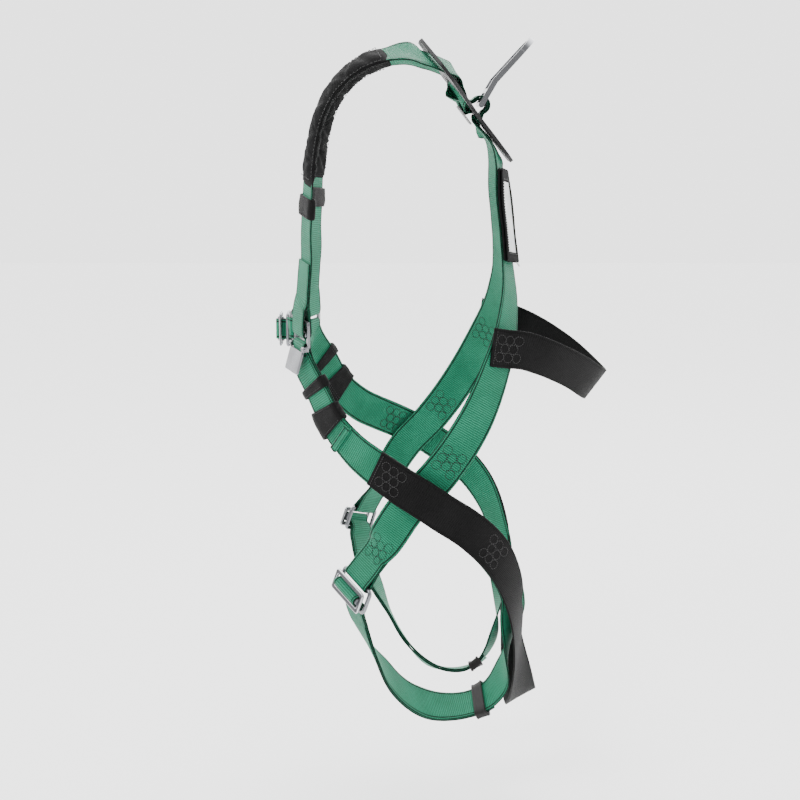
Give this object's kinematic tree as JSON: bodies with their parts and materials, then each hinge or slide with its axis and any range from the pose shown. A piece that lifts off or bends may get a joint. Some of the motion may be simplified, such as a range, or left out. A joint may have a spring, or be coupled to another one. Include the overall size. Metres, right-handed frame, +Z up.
{
  "type": "climbing harness",
  "caption": "Full-body climbing harness of flat webbing with a dorsal ring, chest and leg buckles, padded shoulders, seat strap and lumbar strap, shaped as if worn.",
  "frame": {"origin": "midway between the tops of the two shoulder straps, where they rest on the wearer's shoulders", "axes": "+Z up, -Y towards the wearer's front, +X towards the wearer's left"},
  "size_m": [0.3482, 0.4103, 0.8408],
  "materials": {
    "green_webbing": "woven polyester",
    "black_webbing": "woven polyester",
    "pad_fabric": "soft knitted sleeve over foam",
    "elastic": "woven elastic",
    "keeper_plastic": "matt",
    "dorsal_plastic": "moulded, fine grain",
    "forged_steel": "zinc plated, satin bright",
    "indicator_band": "printed label tape",
    "pocket_fabric": "coated fabric",
    "label_card": "plain card",
    "bar_steel": "knurled",
    "plate_steel": "dark anodised face, bright edges",
    "bright_steel": "zinc plated"
  },
  "bodies": {
    "root": {"shoulder_strap_left": "green_webbing", "shoulder_strap_right": "green_webbing", "thigh_strap_left": "green_webbing", "thigh_strap_right": "green_webbing", "seat_strap": "black_webbing", "lumbar_strap": "black_webbing", "chest_strap_left": "green_webbing", "chest_strap_right": "green_webbing", "shoulder_pad_left": "pad_fabric", "shoulder_pad_right": "pad_fabric", "dorsal_plate": "dorsal_plastic", "fall_indicator": "indicator_band", "label_pocket": "pocket_fabric", "label_card": "label_card", "chest_slide_left": "bright_steel", "chest_slide_right": "bright_steel", "chest_bar_left": "bar_steel", "chest_bar_right": "bar_steel", "chest_pin_left": "bright_steel", "chest_pin_right": "bright_steel"},
    "dorsal_ring": {"dorsal_ring": "forged_steel"},
    "chest_ring": {"chest_ring": "bright_steel", "chest_turn": "green_webbing"},
    "chest_plate": {"chest_plate": "plate_steel", "chest_plate_bar": "bar_steel"},
    "chest_lever_left": {"chest_lever_left": "bright_steel"},
    "leg_ring_left": {"leg_ring_left": "bright_steel", "thigh_turn_left": "green_webbing"},
    "leg_plate_left": {"leg_plate_left": "plate_steel", "leg_bar_left": "bar_steel"},
    "shoulder_keeper_left": {"shoulder_keeper_left": "elastic"},
    "hip_keeper_left": {"hip_keeper_left": "elastic"},
    "hip_sleeve_left": {"hip_sleeve_left": "elastic"},
    "leg_keeper_left": {"leg_keeper_left": "keeper_plastic"},
    "chest_lever_right": {"chest_lever_right": "bright_steel"},
    "leg_ring_right": {"leg_ring_right": "bright_steel", "thigh_turn_right": "green_webbing"},
    "leg_plate_right": {"leg_plate_right": "plate_steel", "leg_bar_right": "bar_steel"},
    "shoulder_keeper_right": {"shoulder_keeper_right": "elastic"},
    "hip_keeper_right": {"hip_keeper_right": "elastic"},
    "hip_sleeve_right": {"hip_sleeve_right": "elastic"},
    "leg_keeper_right": {"leg_keeper_right": "keeper_plastic"}
  },
  "joints": [
    {"name": "dorsal_ring_swing", "type": "hinge", "parent": "root", "child": "dorsal_ring", "pos_m": [0, 0.08967, -0.05623], "axis": [1, 0, 0], "range_deg": [-95, 50]},
    {"name": "chest_ring_swing", "type": "hinge", "parent": "root", "child": "chest_ring", "pos_m": [-0.016, -0.1435, -0.327], "axis": [0, 0, 1], "range_deg": [-8, 8]},
    {"name": "chest_plate_tilt", "type": "hinge", "parent": "chest_ring", "child": "chest_plate", "pos_m": [-0.0005, -0.153, -0.327], "axis": [0, 0, 1], "range_deg": [-8, 8]},
    {"name": "leg_ring_swing_left", "type": "hinge", "parent": "root", "child": "leg_ring_left", "pos_m": [0.14478, -0.05537, -0.60243], "axis": [0.7885, 0.5318, -0.309], "range_deg": [-8, 3]},
    {"name": "leg_plate_tilt_left", "type": "hinge", "parent": "leg_ring_left", "child": "leg_plate_left", "pos_m": [0.14803, -0.06771, -0.61538], "axis": [0.7885, 0.5318, -0.309], "range_deg": [-8, 8]},
    {"name": "chest_lever_lift_left", "type": "hinge", "parent": "root", "child": "chest_lever_left", "pos_m": [0.07971, -0.1267, -0.335], "axis": [-0.9397, -0.342, 0], "range_deg": [0, 95]},
    {"name": "shoulder_keeper_slide_left", "type": "slide", "parent": "root", "child": "shoulder_keeper_left", "axis": [0.0662, 0.0675, 0.9955], "range_m": [-0.006, 0.006]},
    {"name": "hip_keeper_slide_left", "type": "slide", "parent": "root", "child": "hip_keeper_left", "axis": [0.2972, 0.4457, -0.8444], "range_m": [-0.006, 0.006]},
    {"name": "hip_sleeve_slide_left", "type": "slide", "parent": "root", "child": "hip_sleeve_left", "axis": [0.333, 0.4766, -0.8136], "range_m": [-0.006, 0.005]},
    {"name": "leg_keeper_slide_left", "type": "slide", "parent": "root", "child": "leg_keeper_left", "axis": [-0.1515, -0.8763, -0.4574], "range_m": [-0.001, 0.006]},
    {"name": "leg_ring_swing_right", "type": "hinge", "parent": "root", "child": "leg_ring_right", "pos_m": [-0.14478, -0.05537, -0.60243], "axis": [0.7885, -0.5318, 0.309], "range_deg": [-8, 3]},
    {"name": "leg_plate_tilt_right", "type": "hinge", "parent": "leg_ring_right", "child": "leg_plate_right", "pos_m": [-0.14803, -0.06771, -0.61538], "axis": [0.7885, -0.5318, 0.309], "range_deg": [-8, 8]},
    {"name": "chest_lever_lift_right", "type": "hinge", "parent": "root", "child": "chest_lever_right", "pos_m": [-0.07971, -0.1267, -0.335], "axis": [-0.9397, 0.342, 0], "range_deg": [0, 95]},
    {"name": "shoulder_keeper_slide_right", "type": "slide", "parent": "root", "child": "shoulder_keeper_right", "axis": [-0.0662, 0.0675, 0.9955], "range_m": [-0.006, 0.006]},
    {"name": "hip_keeper_slide_right", "type": "slide", "parent": "root", "child": "hip_keeper_right", "axis": [-0.2972, 0.4457, -0.8444], "range_m": [-0.006, 0.006]},
    {"name": "hip_sleeve_slide_right", "type": "slide", "parent": "root", "child": "hip_sleeve_right", "axis": [-0.333, 0.4766, -0.8136], "range_m": [-0.006, 0.005]},
    {"name": "leg_keeper_slide_right", "type": "slide", "parent": "root", "child": "leg_keeper_right", "axis": [0.1515, -0.8763, -0.4574], "range_m": [-0.001, 0.006]}
  ]
}
